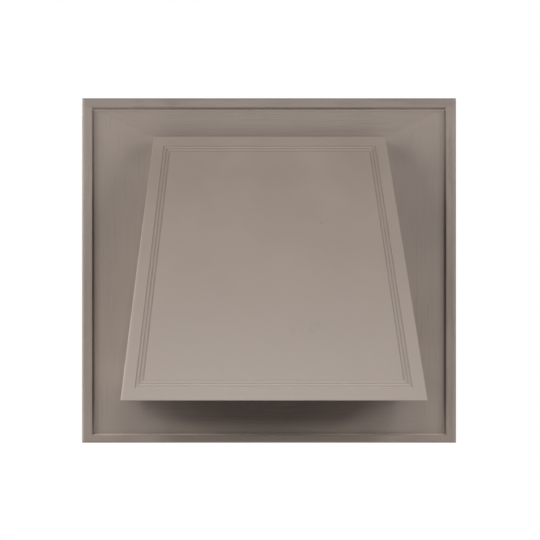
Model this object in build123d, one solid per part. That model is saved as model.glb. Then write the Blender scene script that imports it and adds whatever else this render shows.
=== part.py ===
from build123d import *
import math
import os

# Hooded wall vent for a 4 inch duct, sizes in millimetres.
# The origin is on the duct's axis, in the plane of the wall. +X is the viewer's right, +Y goes into
# the wall and +Z is up, so the vent faces -Y. A "proud" distance is measured out from the wall.

# Duct collar, which slips inside a 4 inch pipe
COLLAR_DIAMETER = 100.0
COLLAR_WALL = 2.0
COLLAR_LENGTH = 44.0
COLLAR_LEAD_IN = 1.2

# Nailing flange
FLANGE_THICKNESS = 2.5
FLANGE_INSET = 4.2
FLANGE_CORNER = 6.0
NAIL_HOLE_DIAMETER = 4.8
NAIL_HOLE_EDGE = 9.0

# Damper flap, its hinge and its seat
FLAP_THICKNESS = 1.6
FLAP_OVERLAP = 2.2
FLAP_LEAN = 4.0
FLAP_RIB_WIDTH = 1.2
FLAP_RIB_HEIGHT = 1.8
FLAP_RIB_SPACING = 36.0
FLAP_SIDE_ROOM = 3.0
FLAP_FOOT_ROOM = 7.5
SEAT_GAP = 0.2
HINGE_RISE = 6.0
HINGE_PROUD = 13.0
HINGE_HEADROOM = 1.3
KNUCKLE_RADIUS = 2.6
KNUCKLE_WIDTH = 12.0
KNUCKLE_FIT = 0.08
KNUCKLE_ROOT = 0.6
BOSS_RADIUS = 3.2
BOSS_GAP = 0.6
ROD_DIAMETER = 2.4
ROD_FIT = 0.05
ROD_END_GAP = 0.1

# Neck of the base and the sill under it
NECK_WALL = 2.2
NECK_LIP = 2.8
SILL_WALL = 2.2
SILL_PROJECTION = 2.0

# Hood
HOOD_WALL = 2.2
HOOD_FIT = 0.3
HOOD_FLARE = 8.0
HOOD_CROWN = 8.0
HOOD_REACH = 61.2
HOOD_EDGE_ROUND = 0.4
HOOD_FOOT_ROUND = 0.2
HOOD_RETURN = 4.0
HOOD_RETURN_WALL = 1.8

# Three fine grooves that follow the edges of the hood's face
GROOVE_COUNT = 3
GROOVE_MARGIN = 5.85
GROOVE_PITCH = 1.5
GROOVE_WIDTH = 0.75
GROOVE_FLOOR = 0.3
GROOVE_DEPTH = 0.25

# Wedge catches that hold the hood on the neck
CATCH_WIDTH = 14.0
CATCH_LENGTH = 5.5
CATCH_BITE = 1.5
CATCH_BRIDGE = 4.0
CATCH_SPREAD = 80.0
WINDOW_GAP = 0.2

# Trim ring
RING_SIDE_REACH = 37.35
RING_TOP_REACH = 20.9
RING_BOTTOM_REACH = 32.1
RING_FIT = 0.5
RING_DEPTH = 19.5
SIDING_GAP = 10.0
SKIRT_WALL = 1.6
RIM_SIDE = 5.3
RIM_TOP = 4.9
RIM_BOTTOM = 4.0
RIM_HEIGHT = 2.0
RIM_DRAFT = 0.5
RIM_FACE = 1.8
RIM_CORE = 1.2
RIM_OUTER_ROUND = 1.4
RIM_BEVEL = 0.2
PANEL_WALL = 2.2
PANEL_DIP = 0.7
OPENING_LIP_WALL = 1.6
OPENING_LIP_DEPTH = 6.0

# Ratchet that sets the ring to the thickness of the siding
RATCHET_PITCH = 2.5
RATCHET_DEPTH = 0.8
RATCHET_FIT = 0.25
RATCHET_SPREAD = 56.0
LEG_WIDTH = 12.0
LEG_WALL = 2.0
LEG_TEETH = 5
LEG_FOOT_GAP = 2.5
POST_WALL = 2.2
POST_TEETH = 2

# Sizes worked out from the duct outwards
collar_radius = COLLAR_DIAMETER / 2
bore_radius = collar_radius - COLLAR_WALL
flap_radius = bore_radius + FLAP_OVERLAP
hinge_z = bore_radius + HINGE_RISE
rod_radius = ROD_DIAMETER / 2
neck_inset = HOOD_WALL + HOOD_FIT

hood_top = hinge_z + KNUCKLE_RADIUS + HINGE_HEADROOM + NECK_WALL + neck_inset
hood_bottom = -(flap_radius + FLAP_FOOT_ROOM + SILL_WALL)
hood_height = hood_top - hood_bottom
hood_middle = (hood_top + hood_bottom) / 2
hood_top_half = flap_radius + FLAP_SIDE_ROOM + NECK_WALL + neck_inset
side_slope = HOOD_FLARE / hood_height
side_stretch = math.hypot(1, side_slope)

skirt_rear = FLANGE_THICKNESS + SIDING_GAP
rim_front = skirt_rear + RING_DEPTH
panel_edge = rim_front - RIM_HEIGHT
panel_dip = panel_edge - PANEL_DIP
hood_brow = rim_front + HOOD_CROWN
hood_lean = HOOD_REACH / hood_height
face_length = math.hypot(hood_height, HOOD_REACH)

ring_half = hood_top_half + RING_SIDE_REACH
ring_top = hood_top + RING_TOP_REACH
ring_bottom = hood_bottom - RING_BOTTOM_REACH

neck_front = HINGE_PROUD + BOSS_RADIUS + NECK_LIP
sill_front = panel_dip + SILL_PROJECTION
catch_rear = FLANGE_THICKNESS + CATCH_BRIDGE
leg_rear = FLANGE_THICKNESS + LEG_FOOT_GAP
leg_teeth_front = leg_rear + LEG_TEETH * RATCHET_PITCH
post_teeth_rear = leg_teeth_front - POST_TEETH * RATCHET_PITCH

# Long enough to pass right through the part in any direction
THROUGH = 4 * ring_half

lean = math.radians(FLAP_LEAN)
flap_plane = Plane(
    origin=(0, -HINGE_PROUD, hinge_z),
    x_dir=(1, 0, 0),
    z_dir=(0, -math.cos(lean), math.sin(lean)),
)
face_plane = Plane(
    origin=(0, -hood_brow, hood_top),
    x_dir=(1, 0, 0),
    z_dir=(0, -hood_height, HOOD_REACH),
)


def slab(sketch, rear, front):
    """A front-view sketch made solid between two proud distances."""
    return extrude(Plane.XZ.offset(rear) * sketch, amount=front - rear)


def taper(rear_sketch, rear, front_sketch, front):
    """A straight-sided solid from one front-view sketch to another."""
    return loft([Plane.XZ.offset(rear) * rear_sketch, Plane.XZ.offset(front) * front_sketch], ruled=True)


def cross_bar(radius, left, right):
    """A round bar on the hinge's axis, between two x positions."""
    start = Plane(origin=(left, -HINGE_PROUD, hinge_z), x_dir=(0, 1, 0), z_dir=(1, 0, 0))
    return extrude(start * Circle(radius), amount=right - left)


def hood_half(z):
    """Half the hood's outer width at a height."""
    return hood_top_half + (hood_top - z) * side_slope


def hood_outline(side, top, bottom):
    """The hood's trapezium seen from the front, grown by a distance at its sides, top and bottom."""
    high = hood_top + top
    low = hood_bottom - bottom
    high_half = hood_half(high) + side * side_stretch
    low_half = hood_half(low) + side * side_stretch
    return Polygon((-low_half, low), (low_half, low), (high_half, high), (-high_half, high))


def upright(half, low, high):
    """A rectangle centred on the vent's middle line."""
    return Polygon((-half, low), (half, low), (half, high), (-half, high))


def ring_outline(side, top, bottom):
    """The ring's outer rectangle, drawn in by a distance at its sides, top and bottom."""
    return upright(ring_half - side, ring_bottom + bottom, ring_top - top)


def edge_section(normal, along, growth):
    """A section plane across the hood's outline: local x runs outwards, local y is proud distance."""
    if normal[0]:
        origin = (normal[0] * (hood_half(along) + growth * side_stretch), 0, along)
        out = (normal[0], 0, side_slope)
    else:
        edge = hood_top + growth if normal[1] > 0 else hood_bottom - growth
        origin = (along, 0, edge)
        out = (0, 0, normal[1])
    return Plane(origin=origin, x_dir=out, z_dir=(out[2], 0, -out[0]))


RIGHT = (1, 0)
LEFT = (-1, 0)
UP = (0, 1)
DOWN = (0, -1)

ratchet_places = [(UP, 0), (DOWN, 0)]
catch_places = []
for flank in (RIGHT, LEFT):
    for end in (-0.5, 0.5):
        ratchet_places.append((flank, hood_middle + end * RATCHET_SPREAD))
        catch_places.append((flank, hood_middle + end * CATCH_SPREAD))


def leg_section(front):
    """Half a ratchet: the ring's leg, with saw teeth on its outer side that slope towards the wall."""
    points = [(0, leg_rear)]
    for tooth in range(LEG_TEETH):
        root = leg_rear + tooth * RATCHET_PITCH
        points.append((LEG_WALL, root))
        points.append((LEG_WALL + RATCHET_DEPTH, root + RATCHET_PITCH))
    points.append((LEG_WALL, leg_teeth_front))
    points.append((LEG_WALL, front))
    points.append((0, front))
    return Polygon(*points)


def post_section():
    """The other half: the base's post, whose teeth hook over those of the leg."""
    valley = LEG_WALL + RATCHET_FIT
    crest = valley + RATCHET_DEPTH
    outer = crest + POST_WALL
    points = [(crest, FLANGE_THICKNESS / 2), (outer, FLANGE_THICKNESS / 2), (outer, leg_teeth_front)]
    for tooth in range(POST_TEETH):
        tip = leg_teeth_front - tooth * RATCHET_PITCH
        points.append((crest, tip))
        points.append((valley, tip - RATCHET_PITCH))
    points.append((crest, post_teeth_rear))
    return Polygon(*points)


def catch_section():
    """A wedge on the neck: it rises towards the wall and ends in a flat hook."""
    height = HOOD_FIT + CATCH_BITE
    root = -NECK_WALL / 2
    rear, front = catch_rear, catch_rear + CATCH_LENGTH
    return Polygon((root, rear), (height, rear), (0, front), (root, front))


def window_section():
    """The hood's window round a catch, cut through the hood's wall alone."""
    rear, front = catch_rear - WINDOW_GAP, catch_rear + CATCH_LENGTH + WINDOW_GAP
    inner, outer = HOOD_FIT / 2, HOOD_FIT + 2 * HOOD_WALL
    return Polygon((inner, rear), (outer, rear), (outer, front), (inner, front))


def along_edge(normal, along, growth, section, width):
    """A section carried along the hood's outline for a width."""
    return extrude(edge_section(normal, along, growth) * section, amount=width / 2, both=True)


def make_base():
    """The moulding that stays on the wall: flange, collar, damper seat, neck, sill and catches."""
    flange_half = ring_half - FLANGE_INSET
    flange_top = ring_top - FLANGE_INSET
    flange_bottom = ring_bottom + FLANGE_INSET
    flange_mid = (flange_top + flange_bottom) / 2
    flange = RectangleRounded(2 * flange_half, flange_top - flange_bottom, FLANGE_CORNER)
    base = slab(Pos(0, flange_mid) * flange, 0, FLANGE_THICKNESS)

    # The collar runs on forwards as the seat, cut off in the plane of the leaning flap.
    tube = slab(Circle(collar_radius), -COLLAR_LENGTH, sill_front)
    tube = chamfer(tube.edges().sort_by(Axis.Y)[-1], COLLAR_LEAD_IN)
    in_front = flap_plane.offset(-SEAT_GAP) * Rectangle(THROUGH, THROUGH)
    tube -= extrude(in_front, amount=THROUGH)
    base += tube

    neck = hood_outline(-neck_inset, -neck_inset, 0)
    neck_inside = hood_outline(-neck_inset - NECK_WALL, -neck_inset - NECK_WALL, -SILL_WALL)
    base += slab(neck - neck_inside, FLANGE_THICKNESS / 2, neck_front)
    sill = hood_outline(-neck_inset, -hood_height + SILL_WALL, 0)
    base += slab(sill, FLANGE_THICKNESS / 2, sill_front)

    neck_half = hood_half(hinge_z) - neck_inset * side_stretch
    boss_inner = flap_radius + BOSS_GAP
    boss_outer = neck_half - NECK_WALL / 2
    base += cross_bar(BOSS_RADIUS, boss_inner, boss_outer)
    base += cross_bar(BOSS_RADIUS, -boss_outer, -boss_inner)

    for normal, along in catch_places:
        base += along_edge(normal, along, -neck_inset, catch_section(), CATCH_WIDTH)
    for normal, along in ratchet_places:
        base += along_edge(normal, along, RING_FIT, post_section(), LEG_WIDTH)

    base -= slab(Circle(bore_radius), -THROUGH, THROUGH)
    base -= cross_bar(rod_radius + ROD_FIT, -neck_half - NECK_WALL, neck_half + NECK_WALL)
    for x in (-1, 1):
        for z in (flange_top - NAIL_HOLE_EDGE, flange_bottom + NAIL_HOLE_EDGE):
            hole = Pos(x * (flange_half - NAIL_HOLE_EDGE), z) * Circle(NAIL_HOLE_DIAMETER / 2)
            base -= slab(hole, -FLANGE_THICKNESS, 2 * FLANGE_THICKNESS)
    return base


def make_rod():
    """The steel rod that the flap hangs on, held at its ends between the hood's side walls."""
    half = hood_half(hinge_z) - neck_inset * side_stretch - ROD_END_GAP
    return cross_bar(rod_radius, -half, half)


def make_flap():
    """The damper: a D-shaped plate with ribs on its face, hung by three knuckles."""
    axis_drop = hinge_z / math.cos(lean)
    top_drop = KNUCKLE_RADIUS + KNUCKLE_ROOT
    straight = Pos(0, -(axis_drop + top_drop) / 2) * Rectangle(2 * flap_radius, axis_drop - top_drop)
    outline = straight + Pos(0, -axis_drop) * Circle(flap_radius)
    flap = extrude(flap_plane * outline, amount=FLAP_THICKNESS)

    ribs = outline - offset(outline, amount=-FLAP_RIB_WIDTH)
    for x in (-FLAP_RIB_SPACING / 2, FLAP_RIB_SPACING / 2):
        ribs += outline & Pos(x, -axis_drop) * Rectangle(FLAP_RIB_WIDTH, THROUGH)
    flap += extrude(flap_plane * ribs, amount=FLAP_THICKNESS + FLAP_RIB_HEIGHT)

    outer_knuckle = flap_radius - KNUCKLE_WIDTH / 2
    for x in (-outer_knuckle, 0, outer_knuckle):
        flap += cross_bar(KNUCKLE_RADIUS, x - KNUCKLE_WIDTH / 2, x + KNUCKLE_WIDTH / 2)
        root = Pos(x, -top_drop / 2) * Rectangle(KNUCKLE_WIDTH, top_drop + FLAP_RIB_WIDTH)
        flap += extrude(flap_plane * root, amount=FLAP_THICKNESS)
    flap -= cross_bar(rod_radius + KNUCKLE_FIT, -THROUGH, THROUGH)
    return flap


def hood_block(inset, rear, below):
    """The hood's outer form drawn in by a wall: the front trapezium cut by the side profile."""
    high = hood_top - inset
    low = hood_bottom - below
    setback = inset * math.hypot(1, hood_lean)
    brow = hood_brow + (hood_top - high) * hood_lean - setback
    foot = hood_brow + (hood_top - low) * hood_lean - setback
    profile = Polygon((-rear, low), (-rear, high), (-brow, high), (-foot, low))
    return slab(hood_outline(-inset, -inset, below), rear, foot) & extrude(
        Plane.YZ * profile, amount=THROUGH, both=True
    )


def face_outline(inset):
    """The hood's sloping face in its own plane, drawn in evenly."""
    spread = HOOD_FLARE / face_length
    inward = inset * math.hypot(1, spread)
    high_half = hood_top_half + inset * spread - inward
    low_half = hood_top_half + (face_length - inset) * spread - inward
    low = inset - face_length
    return Polygon((-low_half, low), (low_half, low), (high_half, -inset), (-high_half, -inset))


def face_taper(inset, inset_below):
    """A shallow block sunk in the hood's face, from one inset outline down to another."""
    slope = (inset_below - inset) / GROOVE_DEPTH
    mouth = face_plane.offset(GROOVE_DEPTH) * face_outline(inset - slope * GROOVE_DEPTH)
    return loft([mouth, face_plane.offset(-GROOVE_DEPTH) * face_outline(inset_below)], ruled=True)


def groove(inset):
    """One groove with sloping sides and a narrow floor, mitred at its corners."""
    mouth = GROOVE_WIDTH / 2
    floor = GROOVE_FLOOR / 2
    return face_taper(inset - mouth, inset - floor) - face_taper(inset + mouth, inset + floor)


def make_hood():
    """The hood: an open-bottomed shell with rounded edges, a turned-in foot and the three grooves."""
    hood = hood_block(0, FLANGE_THICKNESS, 0)
    face_edges = hood.faces().sort_by(Axis.Y)[0].edges().sort_by(Axis.Z)
    roof_edges = hood.faces().sort_by(Axis.Z)[-1].edges().filter_by(Axis.Y)
    hood = fillet(list(face_edges[1:]) + list(roof_edges), HOOD_EDGE_ROUND)
    foot_edge = hood.faces().sort_by(Axis.Z)[0].edges().sort_by(Axis.Y)[0]
    hood = fillet(foot_edge, HOOD_FOOT_ROUND)

    inside = hood_block(HOOD_WALL, 0, HOOD_WALL)
    foot = hood_brow + HOOD_REACH - HOOD_WALL * math.hypot(1, hood_lean)
    turn_in = hood_outline(0, HOOD_RETURN_WALL - hood_height, 0)
    hood -= inside - slab(turn_in, foot - HOOD_RETURN, foot + THROUGH)

    for ring in range(GROOVE_COUNT):
        hood -= groove(GROOVE_MARGIN + ring * GROOVE_PITCH)
    for normal, along in catch_places:
        width = CATCH_WIDTH + 2 * WINDOW_GAP
        hood -= along_edge(normal, along, -neck_inset, window_section(), width)
    return hood


def make_ring():
    """The trim ring: skirt, raised rim, four-way dished panel, lipped opening and ratchet legs."""
    ring = slab(ring_outline(0, 0, 0), skirt_rear, rim_front)
    ring = fillet(ring.faces().sort_by(Axis.Y)[0].edges(), RIM_OUTER_ROUND)

    # The recess falls inside the rim with draft, and its floor dips evenly to the hood's corners.
    rim_edge = ring_outline(RIM_SIDE, RIM_TOP, RIM_BOTTOM)
    panel_outer = ring_outline(RIM_SIDE + RIM_DRAFT, RIM_TOP + RIM_DRAFT, RIM_BOTTOM + RIM_DRAFT)
    panel_inner = upright(hood_top_half + RING_FIT, hood_bottom - RING_FIT, hood_top + RING_FIT)
    ring -= taper(panel_outer, panel_edge, rim_edge, rim_front)
    ring -= taper(panel_inner, panel_dip, panel_outer, panel_edge)
    bevel_mouth = ring_outline(RIM_SIDE - RIM_BEVEL, RIM_TOP - RIM_BEVEL, RIM_BOTTOM - RIM_BEVEL)
    ring -= taper(rim_edge, rim_front - RIM_BEVEL, bevel_mouth, rim_front)

    # Behind, the ring is hollow: an even panel, a thin skirt and a cored rim.
    hollow = slab(ring_outline(SKIRT_WALL, SKIRT_WALL, SKIRT_WALL), skirt_rear, panel_edge - PANEL_WALL)
    hollow -= taper(panel_inner, panel_dip - PANEL_WALL, panel_outer, panel_edge - PANEL_WALL)
    ring -= hollow
    core_inner = SKIRT_WALL + RIM_CORE
    core = ring_outline(SKIRT_WALL, SKIRT_WALL, SKIRT_WALL) - ring_outline(core_inner, core_inner, core_inner)
    ring -= slab(core, skirt_rear, rim_front - RIM_FACE)

    lip_front = panel_dip - PANEL_WALL / 2
    lip_growth = RING_FIT + OPENING_LIP_WALL
    lip = slab(hood_outline(lip_growth, lip_growth, lip_growth), lip_front - OPENING_LIP_DEPTH, lip_front)
    ring += lip
    for normal, along in ratchet_places:
        ring += along_edge(normal, along, RING_FIT, leg_section(lip_front), LEG_WIDTH)
    ring -= slab(hood_outline(RING_FIT, RING_FIT, RING_FIT), 0, THROUGH)
    return ring


def main():
    """Writes each piece to its own STEP file."""
    os.makedirs("parts", exist_ok=True)
    pieces = {
        "mounting_base": make_base(),
        "damper_hinge_rod": make_rod(),
        "damper_flap": make_flap(),
        "hood": make_hood(),
        "trim_ring": make_ring(),
    }
    for name, piece in pieces.items():
        export_step(piece, os.path.join("parts", name + ".step"))


main()
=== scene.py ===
import math
from collections import namedtuple

import bpy
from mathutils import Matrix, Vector


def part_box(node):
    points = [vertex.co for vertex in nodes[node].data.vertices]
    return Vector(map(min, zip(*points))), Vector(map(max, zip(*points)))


# Hooded wall vent in taupe moulded plastic, seen square from the front. Metres, in the part's own frame:
# the wall is the plane y = 0, the vent faces -Y and +Z is up.

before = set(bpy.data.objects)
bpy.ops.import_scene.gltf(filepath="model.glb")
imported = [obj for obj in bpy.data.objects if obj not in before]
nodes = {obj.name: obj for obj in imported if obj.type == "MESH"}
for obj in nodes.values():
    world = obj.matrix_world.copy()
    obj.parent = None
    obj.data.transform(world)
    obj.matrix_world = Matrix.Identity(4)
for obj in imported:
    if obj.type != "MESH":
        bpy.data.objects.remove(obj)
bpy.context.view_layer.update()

ring_low, ring_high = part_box("trim_ring")
hood_low, hood_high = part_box("hood")

Noise = namedtuple("Noise", "scale detail roughness distortion", defaults=(0.5, 0.0))
Relief = namedtuple("Relief", "height strength")
Spot = namedtuple("Spot", "x z radius share")
Softbox = namedtuple("Softbox", "name azimuth elevation distance width height watts")

# Hood: its leaning, flared face and the grooves round it
HOOD_TOP_HALF = 0.0579
HOOD_FLARE = 0.0080
HOOD_BROW = 0.040
HOOD_REACH = 0.0612
FACE_DEPTH = 0.0012
GROOVE_MARGIN = 0.00585
GROOVE_PITCH = 0.0015
GROOVE_WIDTH = 0.00075
GROOVE_COUNT = 3
GROOVE_DEPTHS = (0.00004, 0.00022)
hood_height = hood_high.z - hood_low.z
hood_lean = HOOD_REACH / hood_height
hood_spread = HOOD_FLARE / hood_height
grooves_out = GROOVE_MARGIN - GROOVE_WIDTH / 2
grooves_in = GROOVE_MARGIN + (GROOVE_COUNT - 1) * GROOVE_PITCH + GROOVE_WIDTH / 2

# Trim ring: the raised rim, the panel inside it and the hole that the hood stands in
RIM_SIDE = 0.0053
RIM_TOP = 0.0049
RIM_BOTTOM = 0.0040
RIM_HEIGHT = 0.0020
RIM_DRAFT = 0.0005
PANEL_DIP = 0.0007
RING_FIT = 0.0005
panel_side = ring_high.x - RIM_SIDE
panel_top = ring_high.z - RIM_TOP
panel_bottom = ring_low.z + RIM_BOTTOM
panel_rear = ring_low.y + RIM_HEIGHT + 2 * PANEL_DIP
top_rim_middle = ring_high.z - RIM_TOP / 2
hole_side = HOOD_TOP_HALF + RING_FIT
hole_top = hood_high.z + RING_FIT
hole_bottom = hood_low.z - RING_FIT

# Camera, as the picture's perspective gives it
CAMERA_PLACE = (-0.0135, -0.472, -0.004)
CAMERA_LENS = 57.73
CAMERA_SENSOR = 36.0
CAMERA_SHIFT = 0.0508
CAMERA_CLIP = 0.01

# Colours, linear
TAUPE = (0.340, 0.279, 0.239, 1.0)
TAUPE_LIGHT = (0.362, 0.299, 0.257, 1.0)
TAUPE_DARK = (0.300, 0.245, 0.209, 1.0)
TAUPE_SHADE = (0.215, 0.173, 0.146, 1.0)
TAUPE_DEEP = (0.165, 0.131, 0.111, 1.0)
# Tints for painted light: lit walls and patches, sheen, and highlights
TAUPE_LIT = (0.480, 0.405, 0.355, 1.0)
TAUPE_SHEEN = (0.440, 0.370, 0.322, 1.0)
TAUPE_HIGHLIGHT = (0.640, 0.550, 0.490, 1.0)
DAMPER_TAUPE = (0.300, 0.250, 0.216, 1.0)
DAMPER_LIGHT = (0.325, 0.272, 0.236, 1.0)
# Brown for painted shade in the gap, the corners and along the lower rim edge, and for a speck of dirt
DIRT_AND_SHADE_BROWN = (0.085, 0.066, 0.056, 1.0)
ROD_STEEL = (0.60, 0.59, 0.57, 1.0)
ROD_STREAK = (0.48, 0.47, 0.46, 1.0)
FLOOR_GREY = (0.72, 0.72, 0.72, 1.0)
FLOOR_SHADE = (0.66, 0.66, 0.66, 1.0)
WHITE = (1.0, 1.0, 1.0, 1.0)

# Moulded plastic: uneven colour, and the values between which a noise mostly lies
PLASTIC_IOR = 1.49
MIDDLING = (0.3, 0.7)
CLOUDS = Noise(38.0, 3.0)
GRIT = Noise(900.0, 2.0)
GRIT_PEAKS = (0.6, 0.8)
GRIT_SHARE = 0.2

# Ring surface: wood grain along each strip of the panel, over a fine pebble
RING_UNEVENNESS = 0.4
RING_ROUGHNESS = (0.48, 0.56)
RING_PEBBLE = Noise(1400.0, 3.0)
RING_PEBBLE_RELIEF = Relief(0.00010, 0.2)
GRAIN = Noise(1250.0, 4.0, 0.6, 0.2)
GRAIN_UPRIGHT = (1.0, 0.2, 0.03)
GRAIN_LEVEL = (0.03, 0.2, 1.0)
GRAIN_RIDGES = (0.34, 0.6)
GRAIN_RELIEF = Relief(0.00012, 0.35)
GRAIN_VALLEYS = (0.46, 0.32)
VALLEY_SHARE = 0.22

# Rim: scuffs on its face, smears on the top left (x and radius), painted highlights on its outer side
# edges and inner walls, and painted shade in its inner corners and along its lower outer edge
RIM_FACE = (0.75 * RIM_HEIGHT, 0.65 * RIM_HEIGHT)
SCUFF = Noise(260.0, 4.0, 0.6)
SCUFF_UPRIGHT = (1.0, 1.0, 0.12)
SCUFF_LEVEL = (0.12, 1.0, 1.0)
SCUFF_PEAKS = (0.46, 0.7)
SCUFF_SHARE = 0.42
TOP_RIM_DIRT = 0.20
TOP_RIM_SMEARS = [(-0.080, 0.0082), (-0.066, 0.0100), (-0.050, 0.0085)]
SMEAR_PEAKS = (0.35, 0.6)
SMEAR_SHARE = 0.55
WALL_LIGHT_REACH = 0.0008
EDGE_REACH = 0.0023
EDGE_DEPTH = 0.0040
EDGE_HIGHLIGHT = 0.55
SILL_REACH = 0.0013
SILL_SHADE = 0.35
CORNER_REACH = 0.0010
CORNER_HEIGHTS = (0.075, 0.020)
CORNER_SHARES = (0.35, 0.75)
CORNER_END = 0.025
CORNER_END_SHARE = 0.2

# Tones of the panel: top and bottom strips a little darker, painted shade on the side strips, in spots
# beside the hood and rims and in the gap over the hood, and painted light low on the panel; the studio
# light alone leaves this light and shade too weak
RAIL_DARKENING = 0.08
STRIP_SHADE_MIDDLE = 0.031
STRIP_SHADE_REACH = 0.042
STRIP_SHADE_SHARE = 0.26
LOW_LIGHT_TOP = -0.060
LOW_LIGHT_SHARE = 0.30
LOW_LIGHT_PATCHES = [
    Spot(0.065, -0.080, 0.016, 0.40),
    Spot(0.060, -0.087, 0.012, 0.35),
    Spot(-0.061, -0.080, 0.014, 0.15),
    Spot(-0.060, -0.087, 0.013, 0.45),
    Spot(-0.077, -0.058, 0.018, 0.30),
    Spot(-0.074, -0.036, 0.016, 0.18),
]
SHADE_SPOTS = [
    Spot(-0.066, 0.0575, 0.014, 0.34),
    Spot(0.068, 0.0575, 0.014, 0.38),
    Spot(0.084, 0.0500, 0.014, 0.18),
    Spot(-0.0875, 0.012, 0.022, 0.16),
    Spot(-0.0875, -0.012, 0.020, 0.14),
]
GAP_REACH = 0.0024
GAP_SHADE = 0.34

# Painted shade over the hood's brow and under its foot; depths below the foot where it begins and ends
SHADE_FADE = 0.024
BROW_SHADE = 0.65
BROW_SHADE_REACH = 0.0090
BROW_SHADE_HALF = 0.052
LOW_RIM_SHADE = 0.47
FOOT_SHADE = 0.90
FOOT_SHADE_BEGINS = (0.0045, 0.0108)
FOOT_SHADE_ENDS = (0.0288, 0.0180)
FOOT_SHADE_MIDDLE = -0.0028
FOOT_SHADE_HALF = 0.0805
FOOT_SHADE_TAPER = 1.6

# Hood surface: satin, paler towards the foot from painted sheen, painted shade in the upright and top
# grooves and on the side lands, painted light in the foot's grooves and highlights on the top lands and
# the left edge, smudges and a speck
HOOD_UNEVENNESS = 0.4
HOOD_ROUGHNESS = (0.37, 0.41)
HOOD_PEBBLE = Noise(1500.0, 2.0)
HOOD_PEBBLE_RELIEF = Relief(0.00006, 0.12)
HOOD_WAVES = Noise(24.0, 1.0)
HOOD_WAVES_RELIEF = Relief(0.0004, 0.03)
SHEEN_DROP = 0.020
GROOVE_SHADE = 0.27
TOP_GROOVE_SHADE = 0.20
FOOT_GROOVE_LIGHT = 0.50
LAND_SHADE = 0.14
TOP_LAND_HIGHLIGHT = 0.14
LEFT_EDGE_REACH = 0.0016
LEFT_EDGE_HIGHLIGHT = 0.42
SMUDGE = Noise(420.0, 4.0, 0.6)
SMUDGE_STRETCH = (1.0, 1.0, 0.6)
SMUDGE_PEAKS = (0.40, 0.66)
SMUDGES = [
    Spot(0.0150, -0.0295, 0.0060, 0.15),
    Spot(0.0210, -0.0290, 0.0045, 0.15),
    Spot(0.0090, -0.0307, 0.0035, 0.15),
]
SPECK = Spot(0.0239, 0.0183, 0.0012, 0.16)

# Mounting base, damper flap and hinge rod
BASE_UNEVENNESS = 0.5
BASE_ROUGHNESS = (0.55, 0.66)
BASE_PEBBLE = Noise(1100.0, 3.0)
BASE_PEBBLE_RELIEF = Relief(0.00012, 0.3)
DAMPER_UNEVENNESS = 0.8
DAMPER_ROUGHNESS = (0.5, 0.6)
DAMPER_PEBBLE = Noise(1000.0, 3.0)
DAMPER_PEBBLE_RELIEF = Relief(0.00010, 0.3)
ROD_ROUGHNESS = (0.28, 0.4)
ROD_STREAKS = Noise(3500.0, 2.0)
ROD_STRETCH = (0.03, 1.0, 1.0)
ROD_RELIEF = Relief(0.00002, 0.2)

# Studio: azimuths and elevations in degrees as seen from its middle, with azimuth 0 in front of the vent
STUDIO_MIDDLE = Vector((0.0, -0.04, -0.004))
SOFTBOXES = [
    Softbox("front_softbox", 0.0, 25.0, 1.2, 0.4, 0.5, 5.4),
    Softbox("left_softbox", -60.0, 25.0, 1.2, 0.4, 0.5, 5.4),
    Softbox("right_softbox", 57.0, 22.0, 1.2, 0.4, 0.5, 3.8),
    Softbox("left_edge_softbox", -88.0, 12.0, 1.2, 0.3, 0.6, 3.0),
    Softbox("rear_left_softbox", -138.0, 25.0, 1.3, 0.6, 0.6, 9.0),
    Softbox("rear_right_softbox", 138.0, 25.0, 1.3, 0.6, 0.6, 7.0),
]
AMBIENT = 0.02
FLOOR_DROP = 0.42
FLOOR_WIDTH = 2.4
FLOOR_FRONT = -1.2
FLOOR_BACK = 0.80
FLOOR_ROUGHNESS = (0.7, 0.8)
FLOOR_CLOUDS = Noise(3.0, 3.0)
FLOOR_CLOUD_SHARE = 0.1
FLOOR_RELIEF = Relief(0.001, 0.05)


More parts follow.
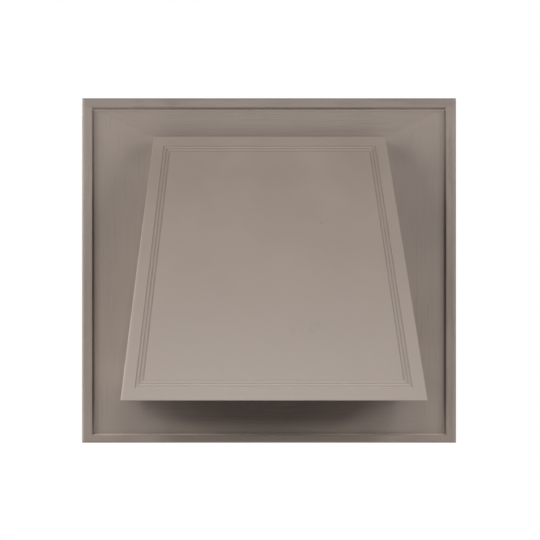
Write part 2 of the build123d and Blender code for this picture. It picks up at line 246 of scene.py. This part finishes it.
class Finish:
    """A material in the making, with short calls that add nodes and join them."""

    def __init__(self, name):
        self.material = bpy.data.materials.new(name)
        self.material.use_nodes = True
        self.tree = self.material.node_tree
        self.surface = self.tree.nodes["Principled BSDF"]
        self.place = self.tree.nodes.new("ShaderNodeTexCoord").outputs["Object"]
        split = self.tree.nodes.new("ShaderNodeSeparateXYZ")
        self.feed(self.place, split.inputs[0])
        self.x, self.y, self.z = split.outputs

    def feed(self, value, socket):
        if isinstance(value, bpy.types.NodeSocket):
            self.tree.links.new(value, socket)
        else:
            socket.default_value = value

    def math(self, operation, first, second=0.0):
        node = self.tree.nodes.new("ShaderNodeMath")
        node.operation = operation
        self.feed(first, node.inputs[0])
        self.feed(second, node.inputs[1])
        return node.outputs[0]

    def plus(self, first, second):
        return self.math("ADD", first, second)

    def minus(self, first, second):
        return self.math("SUBTRACT", first, second)

    def times(self, first, *others):
        for other in others:
            first = self.math("MULTIPLY", first, other)
        return first

    def less(self, value, limit):
        return self.math("LESS_THAN", value, limit)

    def more(self, value, limit):
        return self.math("GREATER_THAN", value, limit)

    def least(self, first, second):
        return self.math("MINIMUM", first, second)

    def most(self, first, second):
        return self.math("MAXIMUM", first, second)

    def off(self, value, middle):
        """Distance from a middle, on either side of it."""
        return self.math("ABSOLUTE", self.minus(value, middle))

    def stretched(self, scale):
        node = self.tree.nodes.new("ShaderNodeMapping")
        self.feed(self.place, node.inputs["Vector"])
        self.feed(scale, node.inputs["Scale"])
        return node.outputs[0]

    def noise(self, pattern, vector=None):
        node = self.tree.nodes.new("ShaderNodeTexNoise")
        self.feed(self.place if vector is None else vector, node.inputs["Vector"])
        self.feed(pattern.scale, node.inputs["Scale"])
        self.feed(pattern.detail, node.inputs["Detail"])
        self.feed(pattern.roughness, node.inputs["Roughness"])
        self.feed(pattern.distortion, node.inputs["Distortion"])
        return node.outputs[0]

    def ramp(self, value, low, high, start=0.0, end=1.0, shape="SMOOTHSTEP"):
        node = self.tree.nodes.new("ShaderNodeMapRange")
        node.interpolation_type = shape
        self.feed(value, node.inputs["Value"])
        self.feed(low, node.inputs["From Min"])
        self.feed(high, node.inputs["From Max"])
        self.feed(start, node.inputs["To Min"])
        self.feed(end, node.inputs["To Max"])
        return node.outputs[0]

    def spot(self, x, z, radius, share=1.0):
        """A share at a point of the front view, falling to 0 at the radius."""
        across = self.minus(self.x, x)
        along = self.minus(self.z, z)
        squares = self.plus(self.times(across, across), self.times(along, along))
        return self.ramp(self.math("SQRT", squares), radius, 0.0, end=share)

    def choose(self, share, first, second):
        node = self.tree.nodes.new("ShaderNodeMix")
        self.feed(share, node.inputs[0])
        self.feed(first, node.inputs[2])
        self.feed(second, node.inputs[3])
        return node.outputs[0]

    def blend(self, share, first, second):
        node = self.tree.nodes.new("ShaderNodeMix")
        node.data_type = "RGBA"
        self.feed(share, node.inputs[0])
        self.feed(first, node.inputs[6])
        self.feed(second, node.inputs[7])
        return node.outputs[2]

    def layered(self, colour, layers):
        """Lays tints over a colour, each with its own share, in the order given."""
        for share, tint in layers:
            colour = self.blend(share, colour, tint)
        return colour

    def bump(self, height, relief, under=None):
        node = self.tree.nodes.new("ShaderNodeBump")
        self.feed(height, node.inputs["Height"])
        self.feed(relief.height, node.inputs["Distance"])
        self.feed(relief.strength, node.inputs["Strength"])
        if under is not None:
            self.feed(under, node.inputs["Normal"])
        return node.outputs["Normal"]

    def done(self, colour, roughness, normal):
        self.feed(colour, self.surface.inputs["Base Color"])
        self.feed(roughness, self.surface.inputs["Roughness"])
        self.feed(normal, self.surface.inputs["Normal"])
        return self.material


class Plastic(Finish):
    """Moulded plastic."""

    def __init__(self, name):
        super().__init__(name)
        self.surface.inputs["IOR"].default_value = PLASTIC_IOR

    def mottled(self, dark, light, unevenness):
        """Uneven colour: broad faint patches with fine specks over them."""
        patches = self.ramp(self.noise(CLOUDS), *MIDDLING, end=unevenness)
        specks = self.ramp(self.noise(GRIT), *GRIT_PEAKS, end=GRIT_SHARE)
        return self.layered(light, [(patches, dark), (specks, dark)])


class RingPlastic(Plastic):
    """The trim ring's plastic, with the places of its strips, panel and rim as shares from 0 to 1."""

    def __init__(self):
        super().__init__("ring_grained_plastic")
        self.across = self.math("ABSOLUTE", self.x)
        self.rail = self.rail_share()
        self.panel = self.panel_share()
        self.front_edge = self.ramp(self.y, ring_low.y + EDGE_DEPTH, ring_low.y)
        self.over_hood = self.faded(self.across, BROW_SHADE_HALF)
        self.grain = self.along_strips(GRAIN, GRAIN_UPRIGHT, GRAIN_LEVEL)
        self.scuffs = self.along_strips(SCUFF, SCUFF_UPRIGHT, SCUFF_LEVEL)

    def part_way(self, value, start, end):
        """0 at the start, 1 at the end, and in step with the value between and beyond them."""
        return self.math("DIVIDE", self.minus(value, start), end - start)

    def rail_share(self):
        """1 on the top and bottom strips, 0 on the sides, with mitres at the corners."""
        side = self.part_way(self.across, hole_side, panel_side)
        top = self.part_way(self.z, hole_top, panel_top)
        low = self.part_way(self.z, hole_bottom, panel_bottom)
        return self.more(self.most(top, low), side)

    def panel_share(self):
        """1 on the panel and the walls round it, 0 on the rim and behind the panel."""
        within_sides = self.less(self.across, panel_side)
        below_top = self.less(self.z, panel_top)
        above_bottom = self.more(self.z, panel_bottom)
        return self.times(self.less(self.y, panel_rear), within_sides, below_top, above_bottom)

    def faded(self, distance, half):
        """1 inside a half width and 0 outside it, with a soft edge."""
        return self.ramp(distance, half + SHADE_FADE / 2, half - SHADE_FADE / 2)

    def along_strips(self, pattern, upright, level):
        """A noise that runs along each of the four strips."""
        on_sides = self.noise(pattern, self.stretched(upright))
        on_rails = self.noise(pattern, self.stretched(level))
        return self.choose(self.rail, on_sides, on_rails)

    def grain_valleys(self):
        return self.times(self.ramp(self.grain, *GRAIN_VALLEYS, end=VALLEY_SHARE), self.panel)

    def rim_scuffs(self):
        face_rear, face_front = RIM_FACE
        on_face = self.ramp(self.y, ring_low.y + face_rear, ring_low.y + face_front)
        return self.times(self.ramp(self.scuffs, *SCUFF_PEAKS, end=SCUFF_SHARE), on_face)

    def top_rim_smears(self):
        top_rim = self.more(self.z, panel_top)
        rubbed = self.ramp(self.scuffs, *SMEAR_PEAKS, end=SMEAR_SHARE)
        rubbed = self.times(rubbed, top_rim, self.front_edge)
        smears = self.times(top_rim, TOP_RIM_DIRT)
        for x, radius in TOP_RIM_SMEARS:
            smears = self.most(smears, self.times(self.spot(x, top_rim_middle, radius), rubbed))
        return smears

    # Painted shade of the hood, half way up the side strips.
    def strip_shade(self):
        height = self.off(self.z, STRIP_SHADE_MIDDLE)
        return self.times(self.ramp(height, STRIP_SHADE_REACH, 0.0, end=STRIP_SHADE_SHARE), self.panel)

    # Painted light: the lower panel paler, with paler patches where the hood's shadow ends.
    def low_panel_light(self):
        lightened = self.ramp(self.z, LOW_LIGHT_TOP, ring_low.z, end=LOW_LIGHT_SHARE)
        for light_patch in LOW_LIGHT_PATCHES:
            lightened = self.plus(lightened, self.spot(*light_patch))
        return lightened

    def low_rim_shade(self):
        return self.times(self.less(self.z, panel_bottom), self.over_hood, LOW_RIM_SHADE)

    def brow_shade(self):
        near = self.ramp(self.z, hood_high.z + BROW_SHADE_REACH, hood_high.z, end=BROW_SHADE)
        return self.times(near, self.more(self.z, hood_high.z), self.over_hood, self.panel)

    def foot_shade(self):
        """A band that narrows downwards."""
        depth = self.minus(hood_low.z, self.z)
        begun = self.ramp(depth, *FOOT_SHADE_BEGINS)
        fading = self.ramp(depth, *FOOT_SHADE_ENDS, end=FOOT_SHADE)
        taper = self.times(depth, FOOT_SHADE_TAPER)
        across = self.plus(self.off(self.x, FOOT_SHADE_MIDDLE), taper)
        return self.times(fading, begun, self.faded(across, FOOT_SHADE_HALF), self.panel)

    def gap_shade(self):
        """Painted shade: the dark line in the gap where the panel meets the top of the hood."""
        near = self.ramp(self.z, hole_top + GAP_REACH, hole_top, end=GAP_SHADE)
        over_hole = self.less(self.across, hole_side)
        return self.times(near, over_hole, self.more(self.z, hood_high.z), self.panel)

    def corner_shade(self):
        """Painted shade: a line down each side at the foot of the rim's wall, darker downwards and faint
        at its end.
        """
        wall_foot = panel_side - RIM_DRAFT
        line = self.ramp(self.across, wall_foot - CORNER_REACH, wall_foot)
        darkening = self.ramp(self.z, *CORNER_HEIGHTS, *CORNER_SHARES)
        ending = self.ramp(self.z, ring_low.z, ring_low.z + CORNER_END, start=CORNER_END_SHARE)
        return self.times(line, self.panel, darkening, ending)

    # Painted light on the rim's lower inner wall.
    def low_wall_light(self):
        return self.times(self.less(self.z, panel_bottom + RIM_DRAFT), self.panel)

    # Painted light on the rim's upper inner wall and just below it.
    def high_wall_light(self):
        return self.times(self.more(self.z, panel_top - RIM_DRAFT - WALL_LIGHT_REACH), self.panel)

    # Painted highlight on the ring's rounded outer side edges.
    def outer_edge_highlight(self):
        near = self.ramp(self.across, ring_high.x - EDGE_REACH, ring_high.x)
        return self.times(near, EDGE_HIGHLIGHT, self.front_edge)

    # Painted shade along the rim's lower outer edge.
    def sill_shade(self):
        near = self.ramp(self.z, ring_low.z + SILL_REACH, ring_low.z, end=SILL_SHADE)
        return self.times(near, self.front_edge)

    def tones(self):
        return [
            (self.grain_valleys(), TAUPE_SHADE),
            # top and bottom strips a little darker than the side strips
            (self.times(self.rail, RAIL_DARKENING), TAUPE_SHADE),
            (self.rim_scuffs(), TAUPE_SHADE),
            (self.top_rim_smears(), TAUPE_SHADE),
            (self.strip_shade(), TAUPE_SHADE),
            (self.low_panel_light(), TAUPE_LIT),
            # painted shade in spots beside the hood's upper corners and by the side rims
            *((self.times(self.spot(*shade_spot), self.panel), TAUPE_SHADE) for shade_spot in SHADE_SPOTS),
            (self.low_rim_shade(), TAUPE_SHADE),
            (self.brow_shade(), TAUPE_SHADE),
            (self.foot_shade(), TAUPE_DEEP),
            (self.gap_shade(), DIRT_AND_SHADE_BROWN),
            (self.corner_shade(), DIRT_AND_SHADE_BROWN),
            (self.low_wall_light(), TAUPE_HIGHLIGHT),
            (self.high_wall_light(), TAUPE_LIT),
            (self.outer_edge_highlight(), TAUPE_LIT),
            (self.sill_shade(), DIRT_AND_SHADE_BROWN),
        ]


class HoodPlastic(Plastic):
    """The hood's plastic, with the places of its leaning face and grooves as shares from 0 to 1."""

    def __init__(self):
        super().__init__("hood_satin_plastic")
        self.drop = self.minus(hood_high.z, self.z)
        self.find_face()
        self.find_borders()
        self.find_grooves()

    def find_face(self):
        """The face leans out from the brow; a groove's floor lies behind it."""
        reach = self.plus(self.times(self.drop, hood_lean), HOOD_BROW)
        face = self.times(reach, -1.0)
        self.on_face = self.less(self.y, self.plus(face, FACE_DEPTH))
        self.groove = self.times(self.ramp(self.minus(self.y, face), *GROOVE_DEPTHS), self.on_face)

    def find_borders(self):
        """Distances in the face from its side, top and foot, and which of the three is nearest."""
        slope = math.hypot(1.0, hood_lean)
        half = self.plus(self.times(self.drop, hood_spread), HOOD_TOP_HALF)
        self.from_side = self.minus(half, self.math("ABSOLUTE", self.x))
        from_foot = self.times(self.minus(self.z, hood_low.z), slope)
        from_top = self.times(self.drop, slope)
        from_end = self.least(from_foot, from_top)
        level = self.less(from_end, self.from_side)
        self.inset = self.least(from_end, self.from_side)
        self.by_side = self.minus(1.0, level)
        self.by_foot = self.times(level, self.less(from_foot, from_top))
        self.by_top = self.minus(level, self.by_foot)

    def find_grooves(self):
        """The lands are the strips of the face between the grooves."""
        beyond_first = self.more(self.inset, grooves_out)
        before_last = self.less(self.inset, grooves_in)
        self.land = self.times(beyond_first, before_last, self.on_face, self.minus(1.0, self.groove))

    # Painted sheen: the face paler towards its foot.
    def painted_sheen(self):
        return self.ramp(self.z, hood_high.z - SHEEN_DROP, hood_low.z, shape="LINEAR")

    def smudges(self):
        rubbed = self.noise(SMUDGE, self.stretched(SMUDGE_STRETCH))
        rubbed = self.times(self.ramp(rubbed, *SMUDGE_PEAKS), self.on_face)
        return [self.times(self.spot(*smudge), rubbed) for smudge in SMUDGES]

    # Painted shade in the upright and top grooves.
    def groove_shade(self):
        by_side = self.times(self.by_side, GROOVE_SHADE)
        by_top = self.times(self.by_top, TOP_GROOVE_SHADE)
        return self.times(self.plus(by_side, by_top), self.groove)

    # Painted highlight along the left edge of the face, stronger towards the foot.
    def left_edge_highlight(self):
        near = self.ramp(self.from_side, LEFT_EDGE_REACH, 0.0)
        downwards = self.ramp(self.z, hood_high.z, hood_low.z, end=LEFT_EDGE_HIGHLIGHT)
        return self.times(near, self.on_face, downwards, self.less(self.x, 0.0))

    def tones(self):
        return [
            (self.painted_sheen(), TAUPE_SHEEN),
            *((smudge, TAUPE_SHADE) for smudge in self.smudges()),
            (self.groove_shade(), TAUPE_SHADE),
            # painted light in the foot's grooves
            (self.times(self.by_foot, FOOT_GROOVE_LIGHT, self.groove), TAUPE_HIGHLIGHT),
            # painted shade on the lands by the sides
            (self.times(self.land, self.by_side, LAND_SHADE), TAUPE_SHADE),
            # painted highlight on the lands by the top
            (self.times(self.land, self.by_top, TOP_LAND_HIGHLIGHT), TAUPE_HIGHLIGHT),
            (self.left_edge_highlight(), TAUPE_HIGHLIGHT),
            (self.times(self.spot(*SPECK), self.on_face), DIRT_AND_SHADE_BROWN),
        ]


def ring_finish():
    """Moulded wood grain on the panel, mitred at the corners, inside a scuffed rim."""
    ring = RingPlastic()
    colour = ring.layered(ring.mottled(TAUPE_DARK, TAUPE, RING_UNEVENNESS), ring.tones())
    ridges = ring.times(ring.ramp(ring.grain, *GRAIN_RIDGES), ring.panel)
    normal = ring.bump(ring.noise(RING_PEBBLE), RING_PEBBLE_RELIEF)
    normal = ring.bump(ridges, GRAIN_RELIEF, normal)
    return ring.done(colour, ring.ramp(ring.grain, *MIDDLING, *RING_ROUGHNESS), normal)


def hood_finish():
    """Smooth satin plastic with painted sheen towards the foot, painted shade and light at the grooves,
    a painted highlight on the left edge, faint smudges and a speck of dirt on the face.
    """
    hood = HoodPlastic()
    colour = hood.layered(hood.mottled(TAUPE_DARK, TAUPE_LIGHT, HOOD_UNEVENNESS), hood.tones())
    waves = hood.noise(HOOD_WAVES)
    normal = hood.bump(waves, HOOD_WAVES_RELIEF)
    normal = hood.bump(hood.noise(HOOD_PEBBLE), HOOD_PEBBLE_RELIEF, normal)
    return hood.done(colour, hood.ramp(waves, *MIDDLING, *HOOD_ROUGHNESS), normal)


def base_finish():
    """Plain matt plastic of the moulding behind the ring."""
    base = Plastic("base_matt_plastic")
    colour = base.mottled(TAUPE_DARK, TAUPE, BASE_UNEVENNESS)
    pebble = base.noise(BASE_PEBBLE)
    normal = base.bump(pebble, BASE_PEBBLE_RELIEF)
    return base.done(colour, base.ramp(pebble, *MIDDLING, *BASE_ROUGHNESS), normal)


def damper_finish():
    """The flap's thinner, slightly darker moulding."""
    damper = Plastic("damper_matt_plastic")
    colour = damper.mottled(DAMPER_TAUPE, DAMPER_LIGHT, DAMPER_UNEVENNESS)
    pebble = damper.noise(DAMPER_PEBBLE)
    normal = damper.bump(pebble, DAMPER_PEBBLE_RELIEF)
    return damper.done(colour, damper.ramp(pebble, *MIDDLING, *DAMPER_ROUGHNESS), normal)


def rod_finish():
    """Drawn steel wire, with fine streaks along its length."""
    rod = Finish("hinge_rod_steel")
    rod.surface.inputs["Metallic"].default_value = 1.0
    streaks = rod.noise(ROD_STREAKS, rod.stretched(ROD_STRETCH))
    colour = rod.blend(streaks, ROD_STEEL, ROD_STREAK)
    normal = rod.bump(streaks, ROD_RELIEF)
    return rod.done(colour, rod.ramp(streaks, *MIDDLING, *ROD_ROUGHNESS), normal)


def floor_finish():
    """Pale seamless studio floor."""
    floor = Finish("pale_floor")
    clouds = floor.noise(FLOOR_CLOUDS)
    shaded = floor.ramp(clouds, *MIDDLING, end=FLOOR_CLOUD_SHARE)
    colour = floor.blend(shaded, FLOOR_GREY, FLOOR_SHADE)
    normal = floor.bump(clouds, FLOOR_RELIEF)
    return floor.done(colour, floor.ramp(clouds, *MIDDLING, *FLOOR_ROUGHNESS), normal)


def dress(node, material):
    """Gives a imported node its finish."""
    mesh = nodes[node].data
    mesh.materials.clear()
    mesh.materials.append(material)


def add_floor():
    bpy.ops.object.select_all(action="DESELECT")
    bpy.ops.mesh.primitive_plane_add(size=1.0)
    floor = bpy.context.object
    floor.name = "studio_floor"
    floor.scale = (FLOOR_WIDTH, FLOOR_BACK - FLOOR_FRONT, 1.0)
    floor.location = (0.0, (FLOOR_BACK + FLOOR_FRONT) / 2, -FLOOR_DROP)
    bpy.ops.object.transform_apply(location=True, rotation=True, scale=True)
    floor.data.materials.append(floor_finish())


def add_softbox(softbox):
    """An area light that faces the vent."""
    turn = math.radians(softbox.azimuth)
    rise = math.radians(softbox.elevation)
    out = Vector((math.sin(turn) * math.cos(rise), -math.cos(turn) * math.cos(rise), math.sin(rise)))
    bpy.ops.object.light_add(type="AREA", location=STUDIO_MIDDLE + out * softbox.distance)
    light = bpy.context.object
    light.name = softbox.name
    light.data.shape = "RECTANGLE"
    light.data.size = softbox.width
    light.data.size_y = softbox.height
    light.data.energy = softbox.watts
    light.rotation_euler = out.to_track_quat("Z", "Y").to_euler()
    light.visible_camera = False


def add_studio_air():
    """White behind the vent for the camera, and a dimmer even light on the vent itself."""
    world = bpy.data.worlds.new("studio_air")
    bpy.context.scene.world = world
    world.use_nodes = True
    tree = world.node_tree
    air = tree.nodes["Background"]
    air.inputs["Color"].default_value = WHITE
    air.inputs["Strength"].default_value = AMBIENT
    backdrop = tree.nodes.new("ShaderNodeBackground")
    backdrop.inputs["Color"].default_value = WHITE
    rays = tree.nodes.new("ShaderNodeLightPath")
    mix = tree.nodes.new("ShaderNodeMixShader")
    tree.links.new(rays.outputs["Is Camera Ray"], mix.inputs[0])
    tree.links.new(air.outputs[0], mix.inputs[1])
    tree.links.new(backdrop.outputs[0], mix.inputs[2])
    tree.links.new(mix.outputs[0], tree.nodes["World Output"].inputs["Surface"])


def add_camera():
    bpy.ops.object.camera_add(location=CAMERA_PLACE, rotation=(math.pi / 2, 0.0, 0.0))
    camera = bpy.context.object
    camera.name = "front_camera"
    camera.data.sensor_width = CAMERA_SENSOR
    camera.data.lens = CAMERA_LENS
    camera.data.shift_x = CAMERA_SHIFT
    camera.data.clip_start = CAMERA_CLIP
    bpy.context.scene.camera = camera


dress("trim_ring", ring_finish())
dress("hood", hood_finish())
dress("mounting_base", base_finish())
dress("damper_flap", damper_finish())
dress("damper_hinge_rod", rod_finish())
add_floor()
for softbox in SOFTBOXES:
    add_softbox(softbox)
add_studio_air()
add_camera()
bpy.context.scene.view_settings.view_transform = "Standard"
